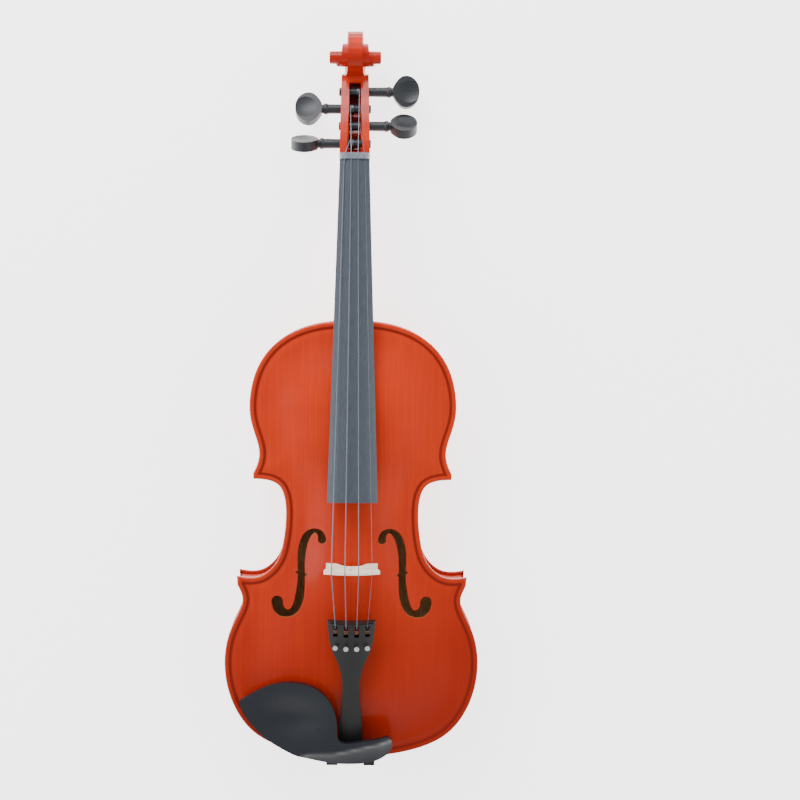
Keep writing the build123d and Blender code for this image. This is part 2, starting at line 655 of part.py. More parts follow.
def tail_station(s):
    """A section plane square to the tailpiece at s from its top edge; its y is the height v."""
    y, z = along_tail(s, 0)
    angle = math.radians(TAIL_ANGLE)
    return Plane(origin=(0, LOWER_EDGE_Y + y, z), x_dir=(1, 0, 0),
                 z_dir=(0, -math.cos(angle), -math.sin(angle)))


def bridge_top(x):
    """Height of the bridge's top curve, which is where the strings' centres pass."""
    return BRIDGE_TOP_Z - crown(x - BRIDGE_CENTRE_SHIFT, FINGERBOARD_RADIUS)


def string_route(letter):
    """Corner points of one string as (x, y, z), from the tuner's hook to its peg."""
    place, radius = STRINGS[letter]
    u_peg, v_peg, head_side, _, _ = PEGS[letter]
    x_tail, x_bridge, x_nut = (place * gap for gap in (TAIL_SPACING, BRIDGE_SPACING, NUT_SPACING))
    drop = crown(x_tail, TAIL_RADIUS)
    nut_u, nut_v = 3.0, NUT_STRING_V - crown(x_nut, FINGERBOARD_RADIUS)
    reach = peg_radius(0) + 3 * radius + 0.3
    gap_u, gap_v = u_peg - nut_u, v_peg - nut_v
    span = math.hypot(gap_u, gap_v)
    turn = math.atan2(gap_v, gap_u) + math.asin(reach / span)
    run = math.sqrt(span ** 2 - reach ** 2)
    end = along_neck(nut_u + run * math.cos(turn), nut_v + run * math.sin(turn))
    return [
        (x_tail, *along_tail(BALL_S - BALL_RADIUS - 0.7, BALL_V - drop + 0.4)),
        (x_tail, *along_tail(FRET_S, FRET_HEIGHT - drop + radius + 0.22)),
        (x_bridge, BRIDGE_Y, bridge_top(x_bridge)),
        (x_nut, *along_neck(nut_u, nut_v)),
        (PEG_WINDING_X * head_side, *end),
    ]


def round_wire(points, corner_radii, radius):
    """A round bar along straight runs between points, joined by arcs of the given radii."""
    with BuildPart() as bar:
        with BuildLine() as route:
            corners = [(x, y + LOWER_EDGE_Y, z) for x, y, z in points]
            FilletPolyline(*corners, radius=corner_radii)
        with BuildSketch(Plane(route.line @ 0, z_dir=route.line % 0)):
            Circle(radius)
        sweep()
    return bar.part


string_solids = {}
for letter, (_, radius) in STRINGS.items():
    string_solids[letter] = round_wire(string_route(letter), [2.0, 3.0, 3.0], radius)
    with BuildPart() as string:
        add(string_solids[letter])
    save(string, f"string_{letter}")

with BuildPart() as nut:
    with BuildSketch(neck_station(0)):
        half = NUT_WIDTH / 2
        with BuildLine():
            Polyline((-half, 4.2), (-half, 0), (half, 0), (half, 4.2))
            Spline((half, 4.2), (10.6, 6.5), (0, NUT_STRING_V), (-10.6, 6.5), (-half, 4.2))
        make_face()
    extrude(amount=-NUT_LENGTH)
    with BuildSketch(NECK_SIDE.offset(-15)):
        Polygon((3.4, 9), (3.4, 7.4), (6.1, 2.6), (7, 2.6), (7, 9), align=None)
    extrude(amount=30, mode=Mode.SUBTRACT)
    add(list(string_solids.values()), mode=Mode.SUBTRACT)
save(nut, "nut")

# ---- bridge ------------------------------------------------------------------------------------
BRIDGE_FOOT_THICKNESS = 4.2
BRIDGE_TOP_THICKNESS = 1.8
BRIDGE_FACE_Y = BRIDGE_Y - BRIDGE_TOP_THICKNESS / 2
BRIDGE_SIDE = [(20.8, -5), (20.8, 1.4), (17.2, 3.2), (15.3, 7), (15.9, 11), (18.6, 14.4), (20.7, 19),
               (22.2, 24), (22.4, 26.5)]
BRIDGE_ARCH = [(12.4, 1.2), (10.4, 3.4), (8.8, 7), (5, 9.6), (0, 10.6)]


def above_crown(points):
    """Points given from the belly's crown turned into points of a station's sketch."""
    return [(x, CROWN_Z + height) for x, height in points]


with BuildPart() as bridge:
    with BuildSketch(station(BRIDGE_FACE_Y)):
        with BuildLine():
            top_points = [(x, bridge_top(x)) for x in (22.4, 12, 0, -12, -22.4)]
            right, left = above_crown(BRIDGE_SIDE), above_crown([(-x, h) for x, h in BRIDGE_SIDE])
            Line(right[0], right[1])
            Spline(*right[1:])
            Line(right[-1], top_points[0])
            Spline(*top_points)
            Line(top_points[-1], left[-1])
            Spline(*left[1:])
            Line(left[1], left[0])
            Line(left[0], right[0])
        make_face()
        with BuildLine():
            arch = above_crown(BRIDGE_ARCH)
            arch_left = above_crown([(-x, h) for x, h in BRIDGE_ARCH[-2::-1]])
            Spline(*arch, *arch_left)
            Polyline(arch_left[-1], (-12.4, CROWN_Z - 6), (12.4, CROWN_Z - 6), arch[0])
        make_face(mode=Mode.SUBTRACT)
        for sign in (-1, 1):
            with Locations((13.0 * sign, CROWN_Z + 17.2)):
                Ellipse(3.4, 4.0, rotation=20 * sign, mode=Mode.SUBTRACT)
            with Locations((17.5 * sign, CROWN_Z + 17.4)):
                Rectangle(9, 2.2, rotation=20 * sign, mode=Mode.SUBTRACT)
        with BuildLine():
            heart = above_crown([(0, 15.6), (3.2, 20), (3.8, 23.6), (1.8, 25.6), (0, 24.2)])
            Spline(*heart)
            mirror(about=Plane.YZ)
        make_face(mode=Mode.SUBTRACT)
    extrude(amount=-BRIDGE_FOOT_THICKNESS)
    with BuildSketch(side(-30)):
        Polygon((BRIDGE_FACE_Y + BRIDGE_FOOT_THICKNESS, CROWN_Z + 4),
                (BRIDGE_FACE_Y + BRIDGE_TOP_THICKNESS, BRIDGE_TOP_Z + 2),
                (BRIDGE_Y + 12, BRIDGE_TOP_Z + 2), (BRIDGE_Y + 12, CROWN_Z + 4), align=None)
    extrude(amount=60, mode=Mode.SUBTRACT)
    add(over_top, mode=Mode.INTERSECT)
    add(list(string_solids.values()), mode=Mode.SUBTRACT)
save(bridge, "bridge")

# ---- pegs and the string wound on them ---------------------------------------------------------
PEG_HEAD_LENGTH = 21.0
PEG_HEAD_THICKNESS = 8.0
for letter, (u, v, head_side, head_at, turn) in PEGS.items():
    y, z = along_neck(u, v)
    flat = math.radians(NECK_ANGLE + turn)
    head_plane = Plane(origin=(0, LOWER_EDGE_Y + y, z), x_dir=(head_side, 0, 0),
                       z_dir=(0, math.sin(flat), math.cos(flat)))
    with BuildPart() as peg:
        with BuildSketch(head_plane):
            with BuildLine():
                Polyline((-PEG_END_AT, 0), (-PEG_END_AT, PEG_END_RADIUS - 0.4),
                         (-PEG_END_AT + 0.4, peg_radius(-PEG_END_AT + 0.4)),
                         (head_at - 6, peg_radius(head_at - 6)), (head_at - 4.6, 4.6),
                         (head_at - 3.2, 4.6), (head_at - 2.2, 3.7), (head_at + 4, 3.7),
                         (head_at + 4, 0), (-PEG_END_AT, 0))
            make_face()
        revolve(axis=Axis((0, LOWER_EDGE_Y + y, z), (1, 0, 0)))
        with BuildSketch(head_plane.offset(-PEG_HEAD_THICKNESS / 2)):
            with BuildLine():
                Spline((head_at - 0.8, 3.4), (head_at + 2.4, 8.6), (head_at + 8, 12.9),
                       (head_at + 14, 12.2), (head_at + 19, 7.6), (head_at + PEG_HEAD_LENGTH, 0),
                       (head_at + 19, -7.6), (head_at + 14, -12.2), (head_at + 8, -12.9),
                       (head_at + 2.4, -8.6), (head_at - 0.8, -3.4))
                Line((head_at - 0.8, -3.4), (head_at - 0.8, 3.4))
            make_face()
        extrude(amount=PEG_HEAD_THICKNESS)
        for face_side in (-1, 1):
            with Locations(head_plane.location * Pos(head_at + 12.5, 0, face_side * 33.2)):
                Sphere(30.6, mode=Mode.SUBTRACT)
        rim = peg.edges().filter_by(lambda e: e.length > 40)
        fillet(rim, 1.2)
    save(peg, f"peg_{letter}")
    radius = STRINGS[letter][1]
    with BuildPart() as winding:
        for i in range(WINDING_TURNS):
            x = PEG_WINDING_X - i * radius * 1.9
            ring_plane = Plane(origin=(x * head_side, LOWER_EDGE_Y + y, z), x_dir=(0, 1, 0),
                               z_dir=(1, 0, 0))
            with Locations(ring_plane.location):
                Torus(peg_radius(x) + radius + 0.02, radius)
    save(winding, f"wound_string_{letter}")

# ---- tailpiece with its four fine tuners -------------------------------------------------------
TAIL_DEPTH = 8.0
TAIL_HALF_WIDTHS = [(0, 19.0), (5, 18.8), (15, 17.7), (22, 16.4), (30, 13.2), (38, 9.8), (47, 7.6),
                    (57, 6.9), (67, 7.1), (77, 7.8), (88, 8.8), (100, 9.6), (109, 9.2)]
ROD_S, ROD_V = 5.6, -6.0
ROD_RADIUS = 0.9
ROD_HALF_LENGTH = 15.4
SCREW_S = 20.5
SCREW_RADIUS = 1.0
ARM_TOP_V = -9.6
LEVER_WIDTH = 3.0
KNOB_RADIUS = 2.1
GUT_HOLE_V = -2.6
TAIL_TOP = Plane(origin=(0, LOWER_EDGE_Y + TAIL_TOP_Y, TAIL_TOP_Z), x_dir=(1, 0, 0),
                 z_dir=(0, -math.sin(math.radians(TAIL_ANGLE)), math.cos(math.radians(TAIL_ANGLE))))


def tail_side(x):
    """A plane along the tailpiece at x: its x is the distance s, its y is the height v."""
    angle = math.radians(TAIL_ANGLE)
    return Plane(origin=(x, LOWER_EDGE_Y + TAIL_TOP_Y, TAIL_TOP_Z),
                 x_dir=(0, -math.cos(angle), -math.sin(angle)), z_dir=(-1, 0, 0))


TUNER_PLACES = {letter: place * TAIL_SPACING for letter, (place, _) in STRINGS.items()}

with BuildPart() as tailpiece:
    with BuildSketch(TAIL_TOP.offset(-TAIL_DEPTH)):
        with BuildLine():
            right_side = [(half, -s) for s, half in TAIL_HALF_WIDTHS]
            left_side = [(-half, -s) for s, half in TAIL_HALF_WIDTHS[::-1]]
            Spline(*right_side)
            Spline(right_side[-1], (5.6, -111.4), (0, -TAIL_LENGTH), (-5.6, -111.4), left_side[0])
            Spline(*left_side)
            ThreePointArc(left_side[-1], (0, -1.2), right_side[0])
        make_face()
    extrude(amount=TAIL_DEPTH + 3)
    with BuildSketch(tail_station(-3)):
        with BuildLine():
            sag = crown(22, TAIL_RADIUS)
            Polyline((-22, -sag), (-22, -12), (22, -12), (22, -sag))
            ThreePointArc((22, -sag), (0, 0), (-22, -sag))
        make_face()
    extrude(amount=120, mode=Mode.INTERSECT)
    with BuildSketch(tail_station(1.3)):
        with BuildLine():
            fret_radius = TAIL_RADIUS + FRET_HEIGHT
            sag = crown(17.6, fret_radius)
            ThreePointArc((-17.6, FRET_HEIGHT - sag), (0, FRET_HEIGHT), (17.6, FRET_HEIGHT - sag))
            Polyline((17.6, FRET_HEIGHT - sag), (17.6, -6), (-17.6, -6), (-17.6, FRET_HEIGHT - sag))
        make_face()
    extrude(amount=1.2)
    with BuildSketch(tail_side(0)):
        Polygon((27, -8.2), (50, -6), (75, -5), (115, -5), (115, -12), (27, -12), align=None)
    extrude(amount=25, both=True, mode=Mode.SUBTRACT)
    with BuildSketch(TAIL_TOP.offset(-TAIL_DEPTH - 1)):
        for x in TUNER_PLACES.values():
            with Locations((x, -8.1)):
                Rectangle(LEVER_WIDTH + 0.7, 9.0)
            with Locations((x, -SCREW_S)):
                Circle(SCREW_RADIUS + RUNNING_CLEARANCE)
    extrude(amount=TAIL_DEPTH + 3, mode=Mode.SUBTRACT)
    with BuildSketch(tail_side(25)):
        with Locations((ROD_S, ROD_V)):
            Circle(ROD_RADIUS + 0.02)
    extrude(amount=25 + ROD_HALF_LENGTH + 0.1, mode=Mode.SUBTRACT)
    for sign in (-1, 1):
        start, end = along_tail(102.5, GUT_HOLE_V), along_tail(115, GUT_HOLE_V)
        add(rod((sign * GUT_HALF_SPREAD, *start), (sign * GUT_HALF_SPREAD, *end), GUT_RADIUS + 0.03),
            mode=Mode.SUBTRACT)
save(tailpiece, "tailpiece")

with BuildPart() as lever_pivot_rod:
    with BuildSketch(tail_side(ROD_HALF_LENGTH)):
        with Locations((ROD_S, ROD_V)):
            Circle(ROD_RADIUS)
    extrude(amount=2 * ROD_HALF_LENGTH)
save(lever_pivot_rod, "lever_pivot_rod")

for letter, x in TUNER_PLACES.items():
    drop = crown(x, TAIL_RADIUS)
    ball_v = BALL_V - drop
    with BuildPart() as lever:
        with BuildSketch(tail_side(x)):
            Polygon((4.3, -7.3), (4.3, -4.8), (5.5, -4.3), (5.6, ball_v + 0.9), (6.7, ball_v + 0.9),
                    (6.7, ball_v - BALL_RADIUS), (10.6, ball_v - BALL_RADIUS),
                    (11.2, ball_v - 0.9), (11.6, ball_v - 1.6), (11.6, ARM_TOP_V),
                    (24, ARM_TOP_V), (24, ARM_TOP_V - 1.4), (9.2, ARM_TOP_V - 1.4), (5.6, -7.8),
                    align=None)
            with Locations((ROD_S, ROD_V)):
                Circle(ROD_RADIUS + RUNNING_CLEARANCE, mode=Mode.SUBTRACT)
        extrude(amount=LEVER_WIDTH / 2, both=True)
        with BuildSketch(tail_side(x)):
            Polygon((4, ball_v - 1.3), (4, ball_v + 3), (7, ball_v + 3), (7, ball_v - 1.3), align=None)
        extrude(amount=0.75, both=True, mode=Mode.SUBTRACT)
    save(lever, f"tuner_lever_{letter}")
    with BuildPart() as ball_end:
        with BuildSketch(tail_side(x)):
            with Locations((BALL_S, ball_v)):
                Circle(BALL_RADIUS)
                Circle(0.7, mode=Mode.SUBTRACT)
        extrude(amount=1.4, both=True)
    save(ball_end, f"ball_end_{letter}")
    with BuildPart() as screw:
        with BuildSketch(TAIL_TOP.offset(ARM_TOP_V + 0.03)):
            with Locations((x, -SCREW_S)):
                Circle(SCREW_RADIUS)
        extrude(amount=2.4 - drop - ARM_TOP_V)
        chamfer(screw.edges().sort_by(Axis.Z)[0], 0.3)
    save(screw, f"tuner_screw_{letter}")
    with BuildPart() as knob:
        with BuildSketch(TAIL_TOP.offset(2.43 - drop)):
            with Locations((x, -SCREW_S)):
                Circle(KNOB_RADIUS)
                with PolarLocations(KNOB_RADIUS, 16):
                    Circle(0.2, mode=Mode.SUBTRACT)
        extrude(amount=2.4)
    save(knob, f"tuner_knob_{letter}")

# ---- tailgut -----------------------------------------------------------------------------------
with BuildPart() as tailgut:
    with BuildLine() as gut_route:
        strands = []
        for x in (GUT_HALF_SPREAD, -GUT_HALF_SPREAD):
            y, z = along_tail(103, GUT_HOLE_V)
            corners = [(x, y, z), (x, 3.4, SADDLE_TOP_Z + GUT_RADIUS), (x, GUT_Y, 50.0),
                       (x, GUT_Y, MID_RIB_Z)]
            strands.append(FilletPolyline(*[(a, b + LOWER_EDGE_Y, c) for a, b, c in corners],
                                          radius=[4.0, 3.0]))
        ThreePointArc(strands[0] @ 1, (0, LOWER_EDGE_Y + GUT_Y, MID_RIB_Z - GUT_HALF_SPREAD),
                      strands[1] @ 1)
    with BuildSketch(Plane(strands[0] @ 0, z_dir=strands[0] % 0)):
        Circle(GUT_RADIUS)
    sweep(path=gut_route.wires()[0])
save(tailgut, "tailgut")

with BuildPart() as saddle:
    with BuildSketch(side(-SADDLE_SIZE[0] / 2)):
        with BuildLine():
            Polyline((0.5, 49.5), (0.5, TOP_JOINT_Z), (SADDLE_SIZE[1], TOP_JOINT_Z),
                     (SADDLE_SIZE[1], SADDLE_TOP_Z - 1.8))
            Spline((SADDLE_SIZE[1], SADDLE_TOP_Z - 1.8), (3.8, SADDLE_TOP_Z), (1.3, SADDLE_TOP_Z - 1.2),
                   (0.5, 49.5))
        make_face()
    extrude(amount=SADDLE_SIZE[0])
    add(tailgut.part, mode=Mode.SUBTRACT)
save(saddle, "saddle")


# ---- chin rest and its clamp -------------------------------------------------------------------
CHIN_OUTLINE = [(-89.8, 49.5), (-78.4, 56.6), (-64.2, 63), (-47.1, 65), (-34.3, 63), (-22.9, 56.6),
                (-15.8, 48), (-11.8, 36.6), (-10.8, 24)]
CHIN_INNER = [(-10.8, 24), (-9.6, 19.2), (8.5, 18.3), (19.9, 19.8), (29.8, 21.9)]
CHIN_OUTER = [(29.8, 21.9), (33.2, 17.5), (32.7, 9.5), (28.4, 4.8), (14.1, -0.6), (0, -1.7),
              (-14.4, -1.0), (-28.7, 1.6), (-42.8, 5.4), (-57.1, 11.9), (-71.3, 21.2),
              (-81.3, 31.6), (-88.5, 42.6), (-89.8, 49.5)]
RIDGE_X = [-95, -60, -34, -14, 7, 22, 30, 40]
RIDGE_Y = [-12, 0, 8.2, 8.9, 13.8, 17.0, 19.5, 23]
RIDGE_Z = [65, 67, 69, 70.5, 71.5, 70.5, 68.5, 66]
CUP_CENTRE = (-48.0, 36.0)
CUP_DEPTH = 6.0
PAD_TOP_Z = 51.6
STUD_X, STUD_Y = 12.5, -2.2
STUD_RADIUS = 0.9
BARREL_RADIUS = 1.9
BARREL_Z = (16.0, 36.0)
BRACKET_Z = 6.6
BRACKET_THICKNESS = 1.8


def chin_top(x, y):
    """Height of the chin rest's upper face: a cup, a ridge and a slope outside the ridge."""
    ridge_y, ridge_z = np.interp(x, RIDGE_X, RIDGE_Y), np.interp(x, RIDGE_X, RIDGE_Z)
    outside = np.clip(ridge_y - y, 0, None)
    across_cup, along_cup = (x - CUP_CENTRE[0]) / 27, (y - CUP_CENTRE[1]) / 16
    cup = CUP_DEPTH * np.exp(-across_cup ** 2 - along_cup ** 2)
    return ridge_z - cup - 11 * (1 - np.exp(-outside / 13))


def chin_bottom(x, y):
    """Height of the chin rest's lower face, which clears the belly and the tailpiece."""
    belly = TOP_JOINT_Z + outer_height(x, y, TOP_ARCH)
    return np.maximum(np.maximum(57.4, belly + 2.5), chin_top(x, y) - 6)


CHIN_SPAN, CHIN_SIDES = (-8.0, 70.0), (-96.0, 40.0)
over_chin = region(chin_top, CHIN_SPAN, CHIN_SIDES, 90, 3.4, 2.6)
under_chin = region(chin_bottom, CHIN_SPAN, CHIN_SIDES, 20, 3.4, 2.6)

with BuildPart() as chin_blank:
    with BuildSketch(level(PAD_TOP_Z)):
        with BuildLine():
            Spline(*CHIN_OUTLINE)
            Spline(*CHIN_INNER)
            Spline(*CHIN_OUTER)
        make_face()
    extrude(amount=30)

with BuildPart() as chin_feet:
    with BuildSketch(level(PAD_TOP_Z)):
        for sign in (-1, 1):
            with Locations((sign * 24.2, 4.5)):
                Rectangle(13.2, 12)
    extrude(amount=8.5)
    add(chin_blank.part, mode=Mode.INTERSECT)
    with BuildSketch(level(PAD_TOP_Z)):
        for sign in (-1, 1):
            with Locations((sign * 15, -1.75)):
                Rectangle(9.0, 3.9)
    extrude(amount=8.5)

with BuildPart() as chin_rest:
    add(chin_blank.part)
    add([over_chin, under_chin], mode=Mode.SUBTRACT)
    add(chin_feet.part)
    for sign in (-1, 1):
        add(rod((sign * STUD_X, STUD_Y, 45), (sign * STUD_X, STUD_Y, 57), STUD_RADIUS),
            mode=Mode.SUBTRACT)
save(chin_rest, "chin_rest")

with BuildPart() as chin_pads:
    with BuildSketch(level(40)):
        for sign in (-1, 1):
            with Locations((sign * 23.8, 6.7)):
                Rectangle(12.4, 7.4)
    extrude(amount=PAD_TOP_Z - 40)
    add(over_top, mode=Mode.INTERSECT)
save(chin_pads, "chin_rest_corks")

with BuildPart() as chin_studs:
    for sign in (-1, 1):
        add(rod((sign * STUD_X, STUD_Y, 33), (sign * STUD_X, STUD_Y, 57), STUD_RADIUS))
save(chin_studs, "chin_rest_studs")

for side_name, sign in (("bass", -1), ("treble", 1)):
    with BuildPart() as barrel:
        with BuildSketch(level(BARREL_Z[0])):
            with Locations((sign * STUD_X, STUD_Y)):
                Circle(BARREL_RADIUS)
                Circle(STUD_RADIUS + RUNNING_CLEARANCE, mode=Mode.SUBTRACT)
        extrude(amount=BARREL_Z[1] - BARREL_Z[0])
        with Locations((sign * STUD_X, LOWER_EDGE_Y + STUD_Y, 26)):
            Cylinder(0.6, 5, rotation=(0, 90, 0), mode=Mode.SUBTRACT)
    save(barrel, f"clamp_barrel_{side_name}")

with BuildPart() as bracket:
    with BuildSketch(level(BRACKET_Z)):
        with Locations((0, 2.4)):
            RectangleRounded(37, 13.4, 3)
    extrude(amount=BRACKET_THICKNESS)
    for sign in (-1, 1):
        add(rod((sign * STUD_X, STUD_Y, BRACKET_Z + 1), (sign * STUD_X, STUD_Y, 30), STUD_RADIUS))
save(bracket, "clamp_bracket")

with BuildPart() as bracket_cork:
    with BuildSketch(level(BRACKET_Z + BRACKET_THICKNESS)):
        with Locations((0, 5.0)):
            Rectangle(33, 7)
    extrude(amount=8)
    add(below_back, mode=Mode.INTERSECT)
save(bracket_cork, "clamp_cork")
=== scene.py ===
"""The violin's looks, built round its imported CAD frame."""
import math

import bpy
import numpy as np
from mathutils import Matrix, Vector
from mathutils.geometry import delaunay_2d_cdt


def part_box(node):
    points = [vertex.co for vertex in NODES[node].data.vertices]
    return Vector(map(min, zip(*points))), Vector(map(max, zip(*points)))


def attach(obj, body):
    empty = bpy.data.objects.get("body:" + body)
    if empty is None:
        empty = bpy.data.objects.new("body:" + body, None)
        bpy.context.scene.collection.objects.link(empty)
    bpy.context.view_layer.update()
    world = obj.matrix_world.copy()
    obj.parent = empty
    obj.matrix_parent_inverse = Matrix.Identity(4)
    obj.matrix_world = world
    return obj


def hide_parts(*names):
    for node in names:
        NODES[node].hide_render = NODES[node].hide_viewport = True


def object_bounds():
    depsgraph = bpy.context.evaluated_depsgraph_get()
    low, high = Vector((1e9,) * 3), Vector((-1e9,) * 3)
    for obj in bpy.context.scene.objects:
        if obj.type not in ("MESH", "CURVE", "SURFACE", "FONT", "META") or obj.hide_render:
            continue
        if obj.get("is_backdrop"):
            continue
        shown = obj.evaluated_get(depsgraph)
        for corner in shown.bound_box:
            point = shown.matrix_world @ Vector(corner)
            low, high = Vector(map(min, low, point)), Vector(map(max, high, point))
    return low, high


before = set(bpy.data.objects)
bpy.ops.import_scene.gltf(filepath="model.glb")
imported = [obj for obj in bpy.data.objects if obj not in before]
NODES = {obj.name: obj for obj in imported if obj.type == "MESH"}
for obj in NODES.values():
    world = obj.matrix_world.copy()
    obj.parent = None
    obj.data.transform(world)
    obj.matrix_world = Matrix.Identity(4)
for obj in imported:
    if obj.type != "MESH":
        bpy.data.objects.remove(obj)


def write_bounds(key, sizes):
    low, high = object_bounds()
    sizes[key] = [[float(v) for v in low], [float(v) for v in high]]


SIZES = {}
write_bounds("cad", SIZES)

# ---- materials ---------------------------------------------------------------------------------
LINE_INSET = 4.65  # mm from the plate's edge to the middle of the inlaid line
LINE_HALF_WIDTH = 0.75
LINE_SOFTNESS = 0.7
LINE_STRENGTH = 0.85
LINE_COLOUR = (0.13, 0.005, 0.001)
PAINTED_SHADE_ACROSS, PAINTED_SHADE_DOWN = 1.6, 3.2  # how fast the painted shade darkens the varnish to the treble side, and down
PAINTED_SHADE_START = 0.02
PAINTED_SHADE_SHARE = 0.78
EVEN = (1.0, 1.0, 1.0)
ALONG_Y = (1.0, 0.03, 1.0)
ALONG_X = (0.05, 1.0, 1.0)


def new_material(name, roughness, metallic=0.0, coat=0.0, coat_roughness=0.05, specular=0.5):
    """A node material with a principled shader and object coordinates ready to use."""
    mat = bpy.data.materials.new(name)
    mat.use_nodes = True
    tree = mat.node_tree
    shader = next(n for n in tree.nodes if n.type == "BSDF_PRINCIPLED")
    shader.inputs["Roughness"].default_value = roughness
    shader.inputs["Metallic"].default_value = metallic
    shader.inputs["Coat Weight"].default_value = coat
    shader.inputs["Coat Roughness"].default_value = coat_roughness
    shader.inputs["Specular IOR Level"].default_value = specular
    coords = tree.nodes.new("ShaderNodeTexCoord")
    return mat, tree, shader, coords.outputs["Object"]


def stretched(tree, source, scale):
    """Coordinates scaled along each axis: a small scale draws a pattern out along that axis."""
    node = tree.nodes.new("ShaderNodeMapping")
    node.inputs["Scale"].default_value = scale
    tree.links.new(source, node.inputs["Vector"])
    return node.outputs["Vector"]


def noise(tree, source, scale, detail, rough=0.55, distortion=0.0):
    node = tree.nodes.new("ShaderNodeTexNoise")
    node.inputs["Scale"].default_value = scale
    node.inputs["Detail"].default_value = detail
    node.inputs["Roughness"].default_value = rough
    node.inputs["Distortion"].default_value = distortion
    tree.links.new(source, node.inputs["Vector"])
    return node.outputs[0]


def ramp(tree, source, stops):
    node = tree.nodes.new("ShaderNodeValToRGB")
    elements = node.color_ramp.elements
    while len(elements) < len(stops):
        elements.new(0.5)
    for element, (at, colour) in zip(elements, stops):
        element.position = at
        element.color = (*colour, 1.0)
    tree.links.new(source, node.inputs["Fac"])
    return node.outputs["Color"]


def mix(tree, factor, first, second, blend="MIX"):
    node = tree.nodes.new("ShaderNodeMix")
    node.data_type = "RGBA"
    node.blend_type = blend
    for socket, value in (("Factor", factor), ("A", first), ("B", second)):
        target = next(s for s in node.inputs if s.name == socket and s.enabled)
        if isinstance(value, bpy.types.NodeSocket):
            tree.links.new(value, target)
        elif isinstance(value, (int, float)):
            target.default_value = value
        else:
            target.default_value = (*value, 1.0)
    return next(s for s in node.outputs if s.enabled)


def maths(tree, operation, *values, clamp=False):
    node = tree.nodes.new("ShaderNodeMath")
    node.operation = operation
    node.use_clamp = clamp
    for socket, value in zip(node.inputs, values):
        if isinstance(value, bpy.types.NodeSocket):
            tree.links.new(value, socket)
        else:
            socket.default_value = value
    return node.outputs[0]


def bump(tree, shader, height, strength, distance):
    node = tree.nodes.new("ShaderNodeBump")
    node.inputs["Strength"].default_value = strength
    node.inputs["Distance"].default_value = distance
    tree.links.new(height, node.inputs["Height"])
    tree.links.new(node.outputs["Normal"], shader.inputs["Normal"])


def srgb(r, g, b):
    """Linear colour of a screen colour given in 0 to 255."""
    out = []
    for value in (r, g, b):
        value /= 255
        out.append(value / 12.92 if value <= 0.04045 else ((value + 0.055) / 1.055) ** 2.4)
    return tuple(out)


def worn_roughness(tree, shader, coords, low, high, scale=35):
    """Handling marks: the roughness wanders between two values."""
    wander = noise(tree, coords, scale, 5)
    spread = maths(tree, "MULTIPLY_ADD", wander, high - low, low)
    tree.links.new(spread, shader.inputs["Roughness"])


def purfling_and_painted_shadow_line(tree, colour):
    """The inlaid purfling beside the edge and a painted shadow under it: a dark line on meshes
    that carry an inset.
    """
    inset = tree.nodes.new("ShaderNodeAttribute")
    inset.attribute_name = "inset"
    off = maths(tree, "ABSOLUTE", maths(tree, "SUBTRACT", inset.outputs["Fac"], LINE_INSET))
    left = maths(tree, "SUBTRACT", LINE_HALF_WIDTH + LINE_SOFTNESS, off)
    fade = maths(tree, "DIVIDE", left, LINE_SOFTNESS, clamp=True)
    return mix(tree, maths(tree, "MULTIPLY", fade, LINE_STRENGTH), colour, LINE_COLOUR)


def painted_shade_falloff(tree, coords, colour, dark):
    """Painted shade: the varnish darkens towards the lower treble side, where the light falls
    off.
    """
    apart = tree.nodes.new("ShaderNodeSeparateXYZ")
    tree.links.new(coords, apart.inputs["Vector"])
    across = maths(tree, "MULTIPLY", apart.outputs["X"], PAINTED_SHADE_ACROSS)
    slope = maths(tree, "SUBTRACT", across,
                  maths(tree, "MULTIPLY", apart.outputs["Y"], PAINTED_SHADE_DOWN))
    share = maths(tree, "MULTIPLY", maths(tree, "SUBTRACT", slope, PAINTED_SHADE_START, clamp=True),
                  PAINTED_SHADE_SHARE)
    return mix(tree, share, colour, dark)


def varnish(name, figure, figure_scale, pore_scale, shades, dark):
    """Red-orange spirit varnish over figured wood: grain, cloudy patches, a worn gloss and
    painted shade towards the lower treble side.
    """
    mat, tree, shader, coords = new_material(name, 0.36, coat=0.3, coat_roughness=0.12,
                                             specular=0.12)
    grain = noise(tree, stretched(tree, coords, figure), figure_scale, 3, 0.5, 0.3)
    pores = noise(tree, stretched(tree, coords, (1.0, 0.05, 0.3)), pore_scale, 2)
    cloud = noise(tree, coords, 8, 3)
    base = ramp(tree, grain, list(zip((0.30, 0.52, 0.72), shades)))
    cloudy = ramp(tree, cloud, [(0.34, (0.78, 0.7, 0.7)), (0.66, (1.1, 1.15, 1.0))])
    colour = mix(tree, 0.85, base, cloudy, "MULTIPLY")
    # painted shade darkens the colour towards the lower treble side, then the inlaid line and the
    # painted shadow under the edge go on
    colour = purfling_and_painted_shadow_line(tree, painted_shade_falloff(tree, coords, colour, dark))
    tree.links.new(colour, shader.inputs["Base Color"])
    worn_roughness(tree, shader, coords, 0.28, 0.42)
    bump(tree, shader, maths(tree, "ADD", grain, pores), 0.1, 0.0001)
    return mat


def plain_wood(name, dark, light, roughness=0.6, along=ALONG_Y, scale=900):
    mat, tree, shader, coords = new_material(name, roughness)
    grain = noise(tree, stretched(tree, coords, along), scale, 3)
    colour = ramp(tree, grain, [(0.3, dark), (0.7, light)])
    tree.links.new(colour, shader.inputs["Base Color"])
    worn_roughness(tree, shader, coords, roughness - 0.08, roughness + 0.1)
    bump(tree, shader, grain, 0.15, 0.0001)
    return mat


